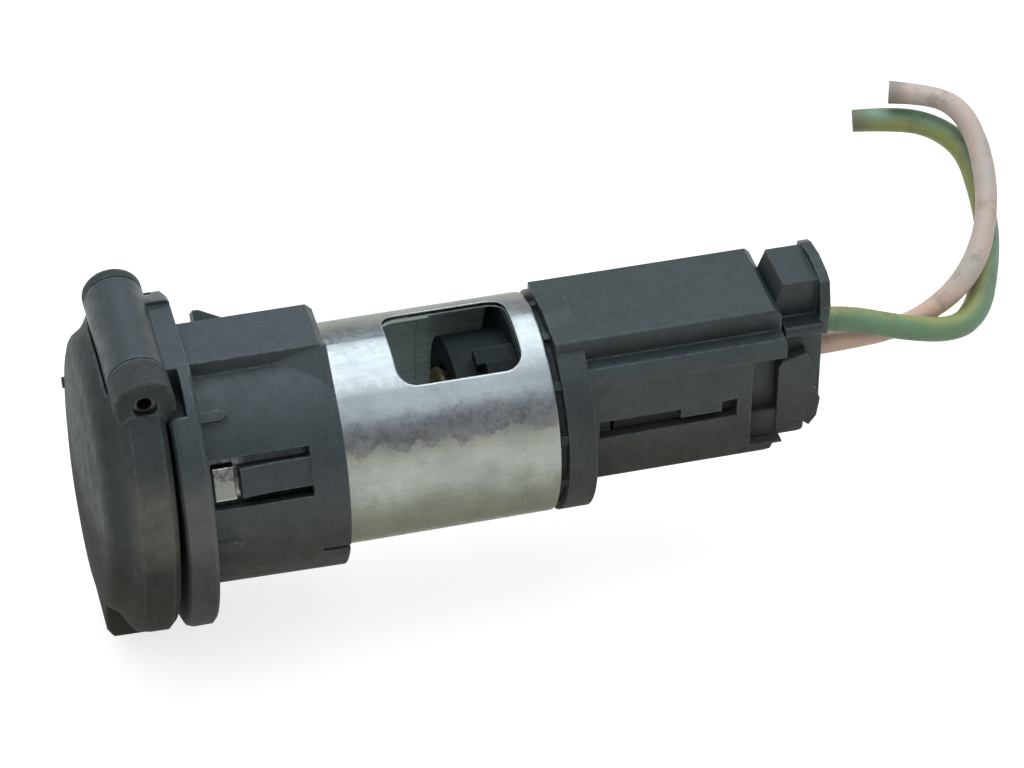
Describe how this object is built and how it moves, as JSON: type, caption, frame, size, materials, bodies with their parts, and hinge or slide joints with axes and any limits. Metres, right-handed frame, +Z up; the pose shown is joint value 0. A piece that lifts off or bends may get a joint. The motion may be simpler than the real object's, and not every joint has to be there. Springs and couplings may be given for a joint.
{
  "type": "car 12v power socket",
  "caption": "Dashboard power socket with a sprung round lid, a plated steel barrel with a side window, a rear connector housing and a harness plug on two cut wires.",
  "frame": {"origin": "centre of the flange's rear face, where the socket sits against its panel, on the barrel's axis", "axes": "+Y rearwards along the barrel, -Y out of the mouth, +Z up to the lid's hinge, +X to the right when seen from the front"},
  "size_m": [0.0395, 0.1023, 0.0379],
  "materials": {
    "black_plastic": "fine grained, satin",
    "lid_plastic": "fine grained, satin",
    "pin_steel": "plain rolled steel",
    "spring_steel": "drawn wire",
    "plated_steel": "zinc plated, lightly drawn along the axis",
    "insulator_plastic": "dull moulded",
    "contact_brass": "stamped sheet",
    "rivet_steel": "plated",
    "washer_fibre": "dull",
    "housing_plastic": "moulded, satin, scuffed",
    "plug_plastic": "moulded, satin",
    "terminal_metal": "tinned sheet",
    "green_insulation": "soft, dusty",
    "pink_insulation": "soft, dusty"
  },
  "bodies": {
    "socket": {"collar": "black_plastic", "socket_barrel": "plated_steel", "inner_insulator": "insulator_plastic", "centre_contact": "contact_brass", "centre_rivet": "rivet_steel", "insulating_washer": "washer_fibre", "positive_blade": "contact_brass", "ground_blade": "contact_brass", "ground_rivet": "rivet_steel", "rear_housing": "housing_plastic", "plug_housing": "plug_plastic", "terminal_lock": "plug_plastic", "positive_terminal": "terminal_metal", "ground_terminal": "terminal_metal", "green_wire": "green_insulation", "pink_wire": "pink_insulation", "hinge_spring": "spring_steel"},
    "lid": {"lid": "lid_plastic", "hinge_pin": "pin_steel"}
  },
  "joints": [
    {"name": "lid_hinge", "type": "hinge", "parent": "socket", "child": "lid", "pos_m": [0, -0.0052, 0.01485], "axis": [-1, 0, 0], "range_deg": [0, 105], "stiffness_Nm_per_rad": 0.01, "springref_deg": -45.84, "deforming": ["hinge_spring"]}
  ]
}
